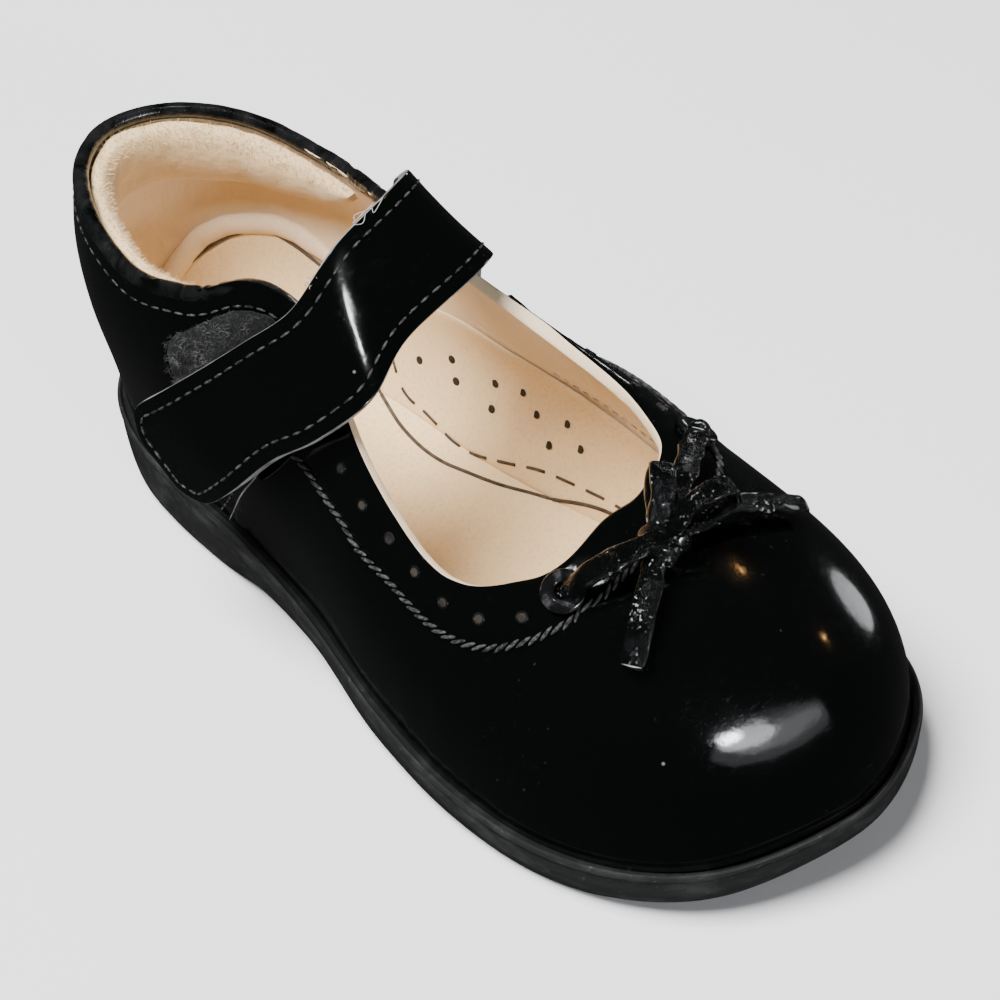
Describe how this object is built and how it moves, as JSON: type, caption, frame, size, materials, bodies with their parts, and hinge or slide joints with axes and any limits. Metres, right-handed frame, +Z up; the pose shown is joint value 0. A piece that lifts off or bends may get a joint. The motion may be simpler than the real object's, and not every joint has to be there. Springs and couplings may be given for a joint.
{
  "type": "mary jane shoe",
  "caption": "Small child's closed-toe bar shoe for the right foot: hollow patent upper, padded collar, one strap with a touch fastener, a small bow and a low rubber sole.",
  "frame": {"origin": "centre of the shoe's bounding box on the floor", "axes": "+Z up, +Y towards the heel, +X towards the inner side of the foot"},
  "size_m": [0.0714, 0.1662, 0.0765],
  "materials": {
    "patent": "gloss",
    "sole_rubber": "satin",
    "footbed": "matte",
    "lining": "matte",
    "fastener_tape": "matte",
    "eyelet_metal": "gloss"
  },
  "bodies": {
    "root": {"outsole": "sole_rubber", "upper": "patent", "insole": "footbed", "collar_padding": "lining", "strap": "patent", "loop_pad": "fastener_tape", "hook_pad": "fastener_tape", "eyelet_lateral": "eyelet_metal", "eyelet_medial": "eyelet_metal", "bow_run_lateral": "patent", "bow_run_medial": "patent", "bow_knot": "patent", "bow_loop_rear": "patent", "bow_loop_front": "patent", "bow_tail_lateral": "patent", "bow_tail_medial": "patent"}
  },
  "joints": []
}
